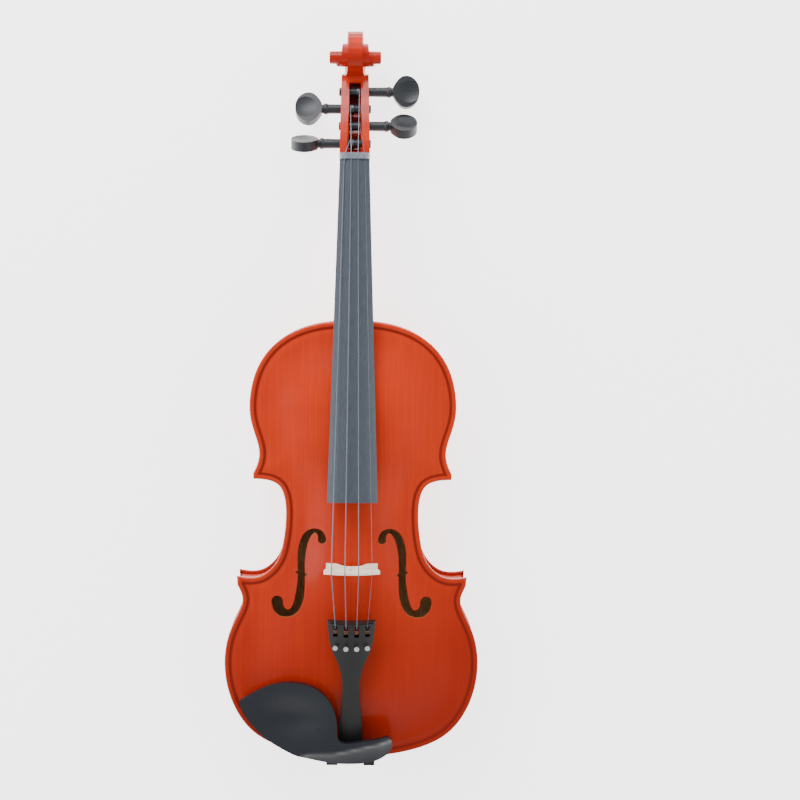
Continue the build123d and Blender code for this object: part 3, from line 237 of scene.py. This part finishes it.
def black_wood(name, dark, light, low, high, along=EVEN):
    """Ebony, dyed wood or nylon, with a roughness from low to high."""
    mat, tree, shader, coords = new_material(name, low)
    grain = noise(tree, stretched(tree, coords, along), 1200, 4)
    cloud = noise(tree, coords, 40, 3)
    colour = ramp(tree, grain, [(0.3, dark), (0.75, light)])
    colour = mix(tree, maths(tree, "MULTIPLY", cloud, 0.25), colour, light)
    tree.links.new(colour, shader.inputs["Base Color"])
    worn_roughness(tree, shader, coords, low, high, 60)
    bump(tree, shader, grain, 0.1, 0.00008)
    return mat


def metal(name, dark, light, low, high, along=EVEN, scale=900, relief=0.08):
    mat, tree, shader, coords = new_material(name, low, metallic=1.0)
    grain = noise(tree, stretched(tree, coords, along), scale, 3)
    colour = ramp(tree, grain, [(0.3, dark), (0.7, light)])
    tree.links.new(colour, shader.inputs["Base Color"])
    worn_roughness(tree, shader, coords, low, high, 120)
    bump(tree, shader, grain, relief, 0.00006)
    return mat


def cork():
    mat, tree, shader, coords = new_material("cork", 0.85)
    cells = tree.nodes.new("ShaderNodeTexVoronoi")
    cells.inputs["Scale"].default_value = 900
    tree.links.new(coords, cells.inputs["Vector"])
    grains = cells.outputs["Distance"]
    colour = ramp(tree, grains, [(0.0, srgb(120, 80, 48)), (0.6, srgb(196, 150, 100))])
    tree.links.new(colour, shader.inputs["Base Color"])
    bump(tree, shader, grains, 0.3, 0.0002)
    return mat


# each varnish's last colour is its painted shade, mixed in towards the lower treble side
SPRUCE = varnish("spruce_varnish", (1.0, 0.012, 0.3), 620, 2600,
                 [(0.54, 0.024, 0.0), (0.57, 0.028, 0.0), (0.61, 0.034, 0.0)], (0.17, 0.003, 0.0))
MAPLE = varnish("maple_varnish", (0.12, 1.0, 0.5), 90, 900,
                [(0.34, 0.010, 0.0), (0.48, 0.016, 0.0), (0.60, 0.03, 0.002)], (0.24, 0.005, 0.0))
BARE_SPRUCE = plain_wood("bare_spruce", srgb(150, 104, 58), srgb(196, 150, 96))
BARE_MAPLE = plain_wood("bare_maple", srgb(214, 160, 100), srgb(240, 196, 136))
BRIDGE_MAPLE = plain_wood("bridge_maple", srgb(226, 206, 182), srgb(250, 240, 226), 0.5,
                          ALONG_X, 1400)
F_EDGE = plain_wood("f_hole_edge", srgb(120, 70, 34), srgb(196, 130, 76), 0.55)
PURFLING = plain_wood("purfling_dark", srgb(44, 16, 10), srgb(70, 28, 16), 0.4)
EBONY = black_wood("ebony_satin", srgb(52, 59, 68), srgb(68, 76, 86), 0.36, 0.48, ALONG_Y)
NUT = black_wood("nut_polished", srgb(92, 98, 108), srgb(128, 134, 144), 0.24, 0.34, ALONG_Y)
PEG_WOOD = black_wood("ebonised_pegs", srgb(16, 18, 22), srgb(34, 38, 44), 0.34, 0.48, ALONG_X)
CHIN = black_wood("chin_rest_black", srgb(12, 14, 19), srgb(24, 29, 38), 0.28, 0.38)
TAIL = black_wood("tailpiece_black", srgb(8, 8, 9), srgb(16, 16, 18), 0.4, 0.55)
NYLON = black_wood("nylon_black", srgb(18, 18, 19), srgb(30, 30, 32), 0.35, 0.5)
STRING = metal("string_wound", srgb(92, 98, 110), srgb(126, 132, 144), 0.22, 0.38,
               (0.4, 6.0, 0.4), 1500, 0.18)
NICKEL = metal("nickel_plate", srgb(196, 196, 198), srgb(232, 232, 234), 0.12, 0.26)
BLACK_METAL = metal("blackened_metal", srgb(40, 40, 43), srgb(62, 62, 66), 0.35, 0.5)
BRONZE = metal("ball_end_bronze", srgb(70, 58, 46), srgb(104, 88, 70), 0.3, 0.45)
CORK = cork()

FINISHES = {
    "top_plate": SPRUCE, "back_plate": MAPLE, "purfling": PURFLING, "bridge": BRIDGE_MAPLE,
    "neck_and_scroll": MAPLE, "fingerboard": EBONY, "nut": NUT, "saddle": PEG_WOOD,
    "end_button": PEG_WOOD, "chin_rest": CHIN, "tailpiece": TAIL, "tailgut": NYLON,
    "lever_pivot_rod": BLACK_METAL, "chin_rest_corks": CORK, "clamp_cork": CORK,
    "chin_rest_studs": NICKEL, "clamp_barrel_bass": NICKEL, "clamp_barrel_treble": NICKEL,
    "clamp_bracket": NICKEL, "upper_block": BARE_SPRUCE, "lower_block": BARE_SPRUCE,
    "corner_blocks": BARE_SPRUCE, "linings": BARE_SPRUCE, "bass_bar": BARE_SPRUCE,
    "sound_post": BARE_SPRUCE,
}
for band in ("lower", "waist", "upper"):
    for side in ("bass", "treble"):
        FINISHES[f"{band}_rib_{side}"] = MAPLE
for letter in "gdae":
    FINISHES[f"peg_{letter}"] = PEG_WOOD
    FINISHES[f"string_{letter}"] = STRING
    FINISHES[f"wound_string_{letter}"] = STRING
    FINISHES[f"tuner_lever_{letter}"] = BLACK_METAL
    FINISHES[f"tuner_screw_{letter}"] = NICKEL
    FINISHES[f"tuner_knob_{letter}"] = NICKEL
    FINISHES[f"ball_end_{letter}"] = BRONZE

for name, node in NODES.items():
    node.data.materials.clear()
    node.data.materials.append(FINISHES[name])

# ---- the body's outline and its arching, in mm up from the lower edge --------------------------
MM = 0.001
LOWER_EDGE_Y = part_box("back_plate")[0][1] * 1000
BODY_LENGTH = 357
BACK_JOINT_Z, TOP_JOINT_Z = 15.0, 45.5
TOP_ARCH, BACK_ARCH = 16.0, 15.0
EDGE_THICKNESS = 4.0
CHANNEL_AT, CHANNEL_DEPTH, CHANNEL_WIDTH = 6, 0.6, 2.5
ARCH_MARGIN = 5  # the arch starts to rise this far in from the edge
BOUT_MIDDLES = (75, 287)
BUTTON_RADIUS = 10.5
BUTTON_CENTRE_Y = BODY_LENGTH - 1.5
LOWER_BOUT = [(0, 0), (27, 1.7), (52, 6.6), (80, 20.5), (97.5, 46), (103.5, 76), (99.5, 102),
              (91.5, 120), (89, 129), (93.2, 141)]
WAIST = [(93.8, 148.5), (84, 147.2), (75, 148.4), (67.5, 153), (61, 161), (56, 177), (54, 200),
         (55.5, 214), (60, 222.8), (69, 227), (80.6, 228)]
UPPER_BOUT = [(80.9, 232.5), (77.5, 240), (76, 249), (79.5, 264), (83.5, 279), (83.5, 297),
              (77, 320), (63, 338.5), (44, 350), (22, 355.6), (0, BODY_LENGTH)]
F_OUTER_EDGE = [(20.9, 179.8), (23, 185.6), (30, 188.6), (38, 185.3), (42.8, 176), (44.2, 160),
                (44, 146), (46, 133), (48, 126), (51.5, 122.3), (54.6, 124), (55.7, 128.3)]
F_LOWER_EYE = (60.5, 133.1)
F_INNER_EDGE = [(65.3, 128.3), (63.5, 121.5), (58.5, 117), (52.5, 116.2), (45.5, 119),
                (40.5, 126.5), (38.3, 138), (38.2, 156), (37.6, 168), (35, 178.5), (32.5, 183),
                (29.5, 185), (27.8, 183), (27.7, 179.8)]
F_UPPER_EYE = (24.3, 176.4)
F_STEM_X = 40.5  # between the two edges of the f-hole's stem
F_NOTCHES = [(152.3, 2.2), (150.8, -2.2)]  # each one's height, and its reach from the middle
NOTCH_HALF_WIDTH = 1.5


def curve(points, step):
    """A natural cubic spline through points, read every step or so."""
    pts = np.array(points, dtype=float)
    knots = np.concatenate([[0], np.cumsum(np.linalg.norm(np.diff(pts, axis=0), axis=1))])
    gaps = np.diff(knots)
    n = len(pts)
    system = np.eye(n)
    rhs = np.zeros((n, pts.shape[1]))
    for i in range(1, n - 1):
        system[i, i - 1:i + 2] = gaps[i - 1], 2 * (gaps[i - 1] + gaps[i]), gaps[i]
        rhs[i] = 6 * ((pts[i + 1] - pts[i]) / gaps[i] - (pts[i] - pts[i - 1]) / gaps[i - 1])
    bends = np.linalg.solve(system, rhs)
    at = np.linspace(0, knots[-1], max(3, round(knots[-1] / step) + 1))
    i = np.clip(np.searchsorted(knots, at, "right") - 1, 0, n - 2)
    h, left, right = gaps[i][:, None], (knots[i + 1] - at)[:, None], (at - knots[i])[:, None]
    cubic = (bends[i] * left ** 3 + bends[i + 1] * right ** 3) / (6 * h)
    return cubic + (pts[i] / h - bends[i] * h / 6) * left \
        + (pts[i + 1] / h - bends[i + 1] * h / 6) * right


def arc(start, middle, end, steps):
    """Points strictly between start and end on the circle through three points."""
    (ax, ay), (bx, by), (cx, cy) = start, middle, end
    d = 2 * (ax * (by - cy) + bx * (cy - ay) + cx * (ay - by))
    ux = ((ax * ax + ay * ay) * (by - cy) + (bx * bx + by * by) * (cy - ay)
          + (cx * cx + cy * cy) * (ay - by)) / d
    uy = ((ax * ax + ay * ay) * (cx - bx) + (bx * bx + by * by) * (ax - cx)
          + (cx * cx + cy * cy) * (bx - ax)) / d
    r = math.hypot(ax - ux, ay - uy)
    t0, t1, t2 = (math.atan2(y - uy, x - ux) for x, y in (start, middle, end))
    turn = (t2 - t0) % (2 * math.pi)
    if (t1 - t0) % (2 * math.pi) > turn:
        turn -= 2 * math.pi
    angles = t0 + turn * np.arange(1, steps) / steps
    return np.stack([ux + r * np.cos(angles), uy + r * np.sin(angles)], axis=1)


def body_loop(step, button=False):
    """The closed outline, anticlockwise from the bottom, with the back's button if asked."""
    upper = curve(UPPER_BOUT, step)
    if button:
        upper = upper[upper[:, 0] > BUTTON_RADIUS]
        start = math.degrees(math.asin((BODY_LENGTH - BUTTON_CENTRE_Y) / BUTTON_RADIUS))
        swing = np.radians(np.arange(start, 90.1, 4))
        top = np.stack([BUTTON_RADIUS * np.cos(swing),
                        BUTTON_CENTRE_Y + BUTTON_RADIUS * np.sin(swing)], axis=1)
        tip = [[0, BUTTON_CENTRE_Y + BUTTON_RADIUS]]
        upper = np.concatenate([upper, top[top[:, 0] > 0.2], tip])
    right = np.concatenate([curve(LOWER_BOUT, step), curve(WAIST, step), upper])
    left = right[1:-1][::-1] * (-1, 1)
    return np.concatenate([right, left])


def f_hole_loop(side):
    """One f-hole with its two small notches half way down; side is 1 or -1."""
    loop = np.concatenate([curve(F_OUTER_EDGE, 1.0),
                           arc(F_OUTER_EDGE[-1], F_LOWER_EYE, F_INNER_EDGE[0], 14),
                           curve(F_INNER_EDGE, 1.0),
                           arc(F_INNER_EDGE[-1], F_UPPER_EYE, F_OUTER_EDGE[0], 10)])
    out = []
    for (x, y), (_, next_y) in zip(loop, np.roll(loop, -1, axis=0)):
        out.append((x, y))
        for notch_y, reach in F_NOTCHES:
            on_this_edge = (x > F_STEM_X) == (reach > 0)
            if on_this_edge and (y - notch_y) * (next_y - notch_y) < 0:
                step = math.copysign(NOTCH_HALF_WIDTH, next_y - y)
                out += [(x, notch_y - step), (x + reach, notch_y), (x, notch_y + step)]
    return np.array(out) * (side, 1)


def in_batches(work, p, size=3000):
    """The work done on an array of points a few thousand at a time."""
    return np.concatenate([work(p[i:i + size]) for i in range(0, len(p), size)])


SAMPLES = body_loop(1.5)
SAMPLE_MID = (SAMPLES + np.roll(SAMPLES, -1, axis=0)) / 2
SAMPLE_LENGTH = np.linalg.norm(SAMPLES - np.roll(SAMPLES, -1, axis=0), axis=1)
POWER = 6
INTEGRAL = math.sqrt(math.pi) * math.gamma((POWER - 1) / 2) / math.gamma(POWER / 2)


def depth_inside(p):
    """A smooth distance from the outline for an array of points."""
    def work(part):
        squares = ((part[:, None, :] - SAMPLE_MID) ** 2).sum(axis=2)
        total = (SAMPLE_LENGTH * (squares + 0.3) ** (-POWER / 2)).sum(axis=1)
        return (INTEGRAL / total) ** (1 / (POWER - 1))
    return in_batches(work, p)


def outer_height(p, arch):
    """Height of a plate's outer face over its joint, as the CAD has it."""
    middles = np.stack([0 * p[:, 0], np.clip(p[:, 1], *BOUT_MIDDLES)], axis=1)
    middle = depth_inside(middles) * 1.02
    depth = depth_inside(p)
    rise = np.clip((depth - ARCH_MARGIN) / (middle - ARCH_MARGIN), 0, 1)
    share = (1 - np.cos(np.pi * rise)) / 2
    channel = CHANNEL_DEPTH * np.exp(-((depth - CHANNEL_AT) / CHANNEL_WIDTH) ** 2)
    return EDGE_THICKNESS + (arch - EDGE_THICKNESS) * share - channel


def arch_normals(p, arch, up):
    """Exact normals of a plate's outer face."""
    reach = 0.25
    slopes = [(outer_height(p + step, arch) - outer_height(p - step, arch)) / (2 * reach)
              for step in (np.array([reach, 0]), np.array([0, reach]))]
    normals = np.stack([-slopes[0], -slopes[1], np.ones(len(p))], axis=1)
    normals /= np.linalg.norm(normals, axis=1, keepdims=True)
    return normals * (1, 1, up)


def distance_to(p, loop):
    """Exact distance from points to a closed loop."""
    a, run = loop, np.roll(loop, -1, axis=0) - loop
    square = np.maximum((run ** 2).sum(axis=1), 1e-9)

    def work(part):
        away = part[:, None, :] - a
        t = np.clip((away * run).sum(axis=2) / square, 0, 1)
        return np.sqrt(((away - t[..., None] * run) ** 2).sum(axis=2)).min(axis=1)
    return in_batches(work, p)


def inside(p, loop):
    """Whether points are inside a closed loop."""
    ax, ay = loop[:, 0], loop[:, 1]
    bx, by = np.roll(ax, -1), np.roll(ay, -1)

    def work(part):
        x, y = part[:, 0:1], part[:, 1:2]
        crossing = (ay > y) != (by > y)
        at = ax + (y - ay) * (bx - ax) / np.where(by == ay, 1, by - ay)
        return (crossing & (x < at)).sum(axis=1) % 2 == 1
    return in_batches(work, p)


def inward(loop, distance):
    """The loop drawn in by a small distance."""
    normals = []
    for run in (loop - np.roll(loop, 1, axis=0), np.roll(loop, -1, axis=0) - loop):
        length = np.linalg.norm(run, axis=1, keepdims=True)
        normals.append(np.stack([-run[:, 1], run[:, 0]], axis=1) / length)
    both = normals[0] + normals[1]
    scale = np.clip(2 / np.maximum((both ** 2).sum(axis=1, keepdims=True), 0.4), 0, 2.5)
    return loop + both * scale * distance


# ---- belly and back ----------------------------------------------------------------------------
ROUNDING = 1.6
RING_DEPTHS = [0.0, 0.12, 0.35, 0.7, 1.1, 1.6]
# painted shadow: the innermost underside ring, 3 mm in, is given an inset of 4.5, so the inlaid
# line's dark colour falls on the overhang's underside by the rib
UNDERSIDE = [(3.0, 4.5, 0.0), (1.0, 1.0, 0.0), (0.45, 0.45, 0.2), (0.12, 0.12, 0.6),
             (0.0, 0.0, 1.3)]  # distance in, stated inset, height over the joint
FINE_STEP, COARSE_STEP = 1.15, 2.6
FINE_FROM, FINE_TO = 2.3, 9.5
HOLE_MARGIN = 0.7
FAR_IN = 30.0  # an inset well past the inlaid line
WALL_DEPTH = 2.8
LINING_DEPTH = 3.0
LINING_FROM = 6.5
OUTER_SLOT, INNER_SLOT = 0, 1


class Surface:
    """The points, insets, faces and material slots of one mesh, as they are gathered."""

    def __init__(self, joint, up):
        self.joint, self.up = joint, up
        self.verts, self.insets, self.faces, self.slots = [], [], [], []

    def add_point(self, x, y, height, inset):
        """Adds a point at a height over the glue joint and returns its number."""
        self.verts.append((x, y, self.joint + self.up * height))
        self.insets.append(inset)
        return len(self.verts) - 1

    def add_ring(self, points, heights, inset):
        """Adds a loop of points and returns the first one's number."""
        first = len(self.verts)
        for (x, y), z in zip(points, heights):
            self.add_point(x, y, z, inset)
        return first

    def add_face(self, corners, slot, turned=False):
        """Adds a face, turned over if asked and once more on a plate that faces down."""
        self.faces.append(corners[::-1] if turned != (self.up < 0) else corners)
        self.slots.append(slot)

    def join(self, first, second, count):
        """A band of faces between two rings of count points."""
        for i in range(count):
            j = (i + 1) % count
            self.add_face((first + i, first + j, second + j, second + i), OUTER_SLOT)

    def make(self, name, materials):
        """The object, in the shared frame."""
        world = np.array(self.verts, dtype=float)
        world[:, 1] += LOWER_EDGE_Y
        mesh = bpy.data.meshes.new(name)
        mesh.from_pydata((world * MM).tolist(), [], self.faces)
        for material in materials:
            mesh.materials.append(material)
        mesh.polygons.foreach_set("use_smooth", [True] * len(mesh.polygons))
        mesh.polygons.foreach_set("material_index", self.slots)
        mesh.update()
        obj = bpy.data.objects.new(name, mesh)
        bpy.context.collection.objects.link(obj)
        return obj


def lattice(step, loop, holes, least, most):
    """A triangular lattice in a loop, at points from least to most away from any edge."""
    low, high = loop.min(axis=0), loop.max(axis=0)
    rows = []
    for i, y in enumerate(np.arange(low[1], high[1], step * 0.866)):
        xs = np.arange(low[0] + (i % 2) * step / 2, high[0], step)
        rows.append(np.stack([xs, np.full_like(xs, y)], axis=1))
    p = np.concatenate(rows)
    p = p[inside(p, loop)]
    room = distance_to(p, loop)
    for hole in holes:
        near = np.where(inside(p, hole), 0.0, distance_to(p, hole) + HOLE_MARGIN)
        room = np.minimum(room, near)
    return p[(room > least) & (room <= most)]


def triangulated(rim, holes, loose):
    """Triangles between a rim and its holes: points, corner numbers and each point's sources."""
    edges, at = [], 0
    for ring in (rim, *holes):
        edges += [(at + i, at + (i + 1) % len(ring)) for i in range(len(ring))]
        at += len(ring)
    flat = [Vector(p) for p in np.concatenate([rim, *holes, loose])]
    points, _, faces, sources, _, _ = delaunay_2d_cdt(flat, edges, [], 0, 1e-6)
    points = np.array([tuple(v) for v in points])
    triangles = np.array([f for f in faces if len(f) == 3])
    middles = points[triangles].mean(axis=1)
    good = inside(middles, rim)
    for hole in holes:
        good &= ~inside(middles, hole)
    return points, triangles[good], sources


def plate(name, loop, holes, arch, joint, up, materials, lined=False):
    """An arched plate: a rounded edge in rings, then a lattice over the arch, and hole walls."""
    surface = Surface(joint, up)
    n = len(loop)
    starts = [surface.add_ring(inward(loop, distance), [z] * n, inset)
              for distance, inset, z in UNDERSIDE]
    for depth in RING_DEPTHS:
        points = inward(loop, depth)
        drop = ROUNDING - math.sqrt(ROUNDING ** 2 - (ROUNDING - depth) ** 2)
        starts.append(surface.add_ring(points, outer_height(points, arch) - drop, depth))
    for first, second in zip(starts, starts[1:]):
        surface.join(first, second, n)

    loose = np.concatenate([lattice(FINE_STEP, loop, holes, FINE_FROM, FINE_TO),
                            lattice(COARSE_STEP, loop, holes, FINE_TO, math.inf)])
    flat, triangles, sources = triangulated(inward(loop, RING_DEPTHS[-1]), holes, loose)
    heights, insets = outer_height(flat, arch), distance_to(flat, loop)
    arch_from = len(surface.verts)
    numbers = [starts[-1] + found[0] if found and found[0] < n
               else surface.add_point(x, y, z, float(inset))
               for (x, y), z, inset, found in zip(flat, heights, insets, sources)]
    arch_to = len(surface.verts)
    corners = [tuple(numbers[i] for i in triangle) for triangle in triangles]
    for triangle in corners:
        surface.add_face(triangle, OUTER_SLOT)

    if lined:
        for x, y, z in surface.verts[arch_from:arch_to]:
            surface.add_point(x, y, up * (z - joint) - LINING_DEPTH, FAR_IN)
        shift = arch_to - arch_from
        for triangle in corners:
            if all(i >= arch_from and surface.insets[i] > LINING_FROM for i in triangle):
                surface.add_face(tuple(i + shift for i in triangle), INNER_SLOT, turned=True)

    for hole in holes:
        count = len(hole)
        brims = outer_height(hole, arch)
        brim = surface.add_ring(hole, brims, FAR_IN)
        surface.add_ring(hole, brims - WALL_DEPTH, FAR_IN)
        for i in range(count):
            j = (i + 1) % count
            surface.add_face((brim + i, brim + j, brim + count + j, brim + count + i), INNER_SLOT)

    obj = surface.make(name, materials)
    normals = np.array([tuple(v.normal) for v in obj.data.vertices])
    spots = np.array(surface.verts[arch_from:arch_to])[:, :2]
    normals[arch_from:arch_to] = arch_normals(spots, arch, up)
    obj.data.normals_split_custom_set_from_vertices([tuple(v) for v in normals])
    attribute = obj.data.attributes.new("inset", "FLOAT", "POINT")
    attribute.data.foreach_set("value", surface.insets)
    return obj


F_HOLES = [f_hole_loop(1)[::-1], f_hole_loop(-1)]
top = plate("belly", body_loop(1.25), F_HOLES, TOP_ARCH, TOP_JOINT_Z, 1, [SPRUCE, F_EDGE])
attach(top, "violin")
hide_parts("top_plate", "purfling")
back = plate("back", body_loop(1.25, button=True), [], BACK_ARCH, BACK_JOINT_Z, -1,
             [MAPLE, BARE_MAPLE], lined=True)
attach(back, "violin")
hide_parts("back_plate")

# ---- floor, light and camera, in metres --------------------------------------------------------
FLOOR_SIZE, FLOOR_Z, FLOOR_GLOW = 40, -0.0006, 2.6
SKY_STOPS = [(0.5, (1.0, 1.0, 1.0)), (0.9, (0.42, 0.42, 0.42))]  # horizon, and near the zenith
SKY_STRENGTH = 1.5
SOFTBOXES = {  # place, size and power
    "key_from_scroll_end": ((-0.5, 1.4, 1.0), (1.2, 0.6), 26),
    "fill_from_left": ((-1.5, 0.1, 0.8), (0.7, 1.6), 9),
    "rim_from_right": ((1.5, 0.4, 0.7), (0.6, 1.4), 5),
}

bpy.ops.mesh.primitive_plane_add(size=FLOOR_SIZE, location=(0, 0, FLOOR_Z))
floor = bpy.context.object
floor.name = "floor"
paper, tree, shader, coords = new_material("floor_paper", 0.9, specular=0.1)
fibres = noise(tree, coords, 300, 3)
tree.links.new(ramp(tree, fibres, [(0.3, (0.93, 0.93, 0.94)), (0.7, (0.96, 0.96, 0.96))]),
               shader.inputs["Base Color"])
shader.inputs["Emission Color"].default_value = (1.0, 1.0, 1.0, 1.0)
shader.inputs["Emission Strength"].default_value = FLOOR_GLOW
floor.data.materials.append(paper)
floor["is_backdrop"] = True

world = bpy.data.worlds.new("studio")
bpy.context.scene.world = world
world.use_nodes = True
tree = world.node_tree
sky = tree.nodes["Background"]
towards = tree.nodes.new("ShaderNodeTexCoord")
apart = tree.nodes.new("ShaderNodeSeparateXYZ")
tree.links.new(towards.outputs["Generated"], apart.inputs["Vector"])
tree.links.new(ramp(tree, apart.outputs["Z"], SKY_STOPS), sky.inputs["Color"])
sky.inputs["Strength"].default_value = SKY_STRENGTH

for name, (place, (light_x, light_y), power) in SOFTBOXES.items():
    light = bpy.data.lights.new(name, "AREA")
    light.shape = "RECTANGLE"
    light.size, light.size_y = light_x, light_y
    light.energy = power
    lamp = bpy.data.objects.new(name, light)
    lamp.location = place
    lamp.rotation_euler = (-Vector(place)).to_track_quat("-Z", "Y").to_euler()
    bpy.context.collection.objects.link(lamp)

camera_data = bpy.data.cameras.new("camera")
camera_data.lens = 77.27
camera_data.sensor_width = 36.0
camera_data.shift_x = 0.0588
camera_data.shift_y = -0.05
camera_data.clip_start = 0.01
camera = bpy.data.objects.new("camera", camera_data)
camera.location = (-0.00065, 0.0925, 1.4395)
camera.rotation_euler = (math.radians(-2.46), 0, math.radians(0.4))
bpy.context.collection.objects.link(camera)
bpy.context.scene.camera = camera

write_bounds("visual", SIZES)
